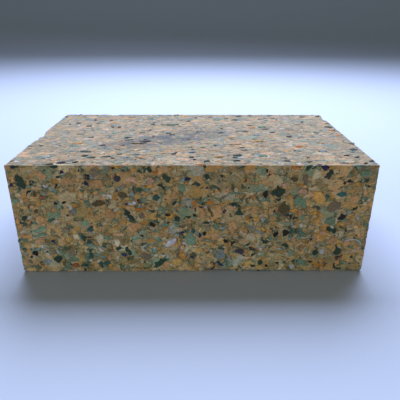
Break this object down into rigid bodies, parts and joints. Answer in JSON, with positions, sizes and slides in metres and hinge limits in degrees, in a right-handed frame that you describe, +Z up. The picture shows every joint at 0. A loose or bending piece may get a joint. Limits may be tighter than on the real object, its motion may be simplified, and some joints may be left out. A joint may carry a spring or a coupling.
{
  "type": "mounting block",
  "caption": "Solid rectangular step block of bonded foam chips, laid flat to stand on, with torn chips, film scraps and fibres showing flush in its sawn faces.",
  "frame": {"origin": "middle of the underside, on the surface that the block stands on", "axes": "+X along the length, -Y is the long front face, +Z up, out of the tread"},
  "size_m": [0.457, 0.279, 0.152],
  "materials": {
    "black_chips": "matte open-cell foam",
    "blue_chips": "matte open-cell foam",
    "bonded_crumb_body": "matte, finely torn foam crumb with cured binder",
    "bottle_green_chips": "matte open-cell foam",
    "cream_chips": "matte open-cell foam",
    "film_scraps": "thin satin film",
    "grey_chips": "matte open-cell foam",
    "navy_chips": "matte open-cell foam",
    "ochre_chips": "matte open-cell foam",
    "olive_brown_chips": "matte open-cell foam",
    "orange_chips": "matte open-cell foam",
    "peach_chips": "matte open-cell foam",
    "pink_chips": "matte open-cell foam",
    "plum_chips": "matte open-cell foam",
    "purple_thread": "fine sewing thread",
    "red_specks": "matte open-cell foam",
    "rust_chips": "matte open-cell foam",
    "sage_green_chips": "matte open-cell foam",
    "taupe_chips": "matte open-cell foam",
    "teal_chips": "matte open-cell foam",
    "white_chips": "matte open-cell foam",
    "white_yarn_loop": "soft twisted yarn"
  },
  "bodies": {
    "root": {"black_chips": "black_chips", "blue_chips": "blue_chips", "bonded_crumb_body": "bonded_crumb_body", "bottle_green_chips": "bottle_green_chips", "cream_chips": "cream_chips", "film_scraps": "film_scraps", "grey_chips": "grey_chips", "navy_chips": "navy_chips", "ochre_chips": "ochre_chips", "olive_brown_chips": "olive_brown_chips", "orange_chips": "orange_chips", "peach_chips": "peach_chips", "pink_chips": "pink_chips", "plum_chips": "plum_chips", "purple_thread": "purple_thread", "red_specks": "red_specks", "rust_chips": "rust_chips", "sage_green_chips": "sage_green_chips", "taupe_chips": "taupe_chips", "teal_chips": "teal_chips", "white_chips": "white_chips", "white_yarn_loop": "white_yarn_loop"}
  },
  "joints": []
}
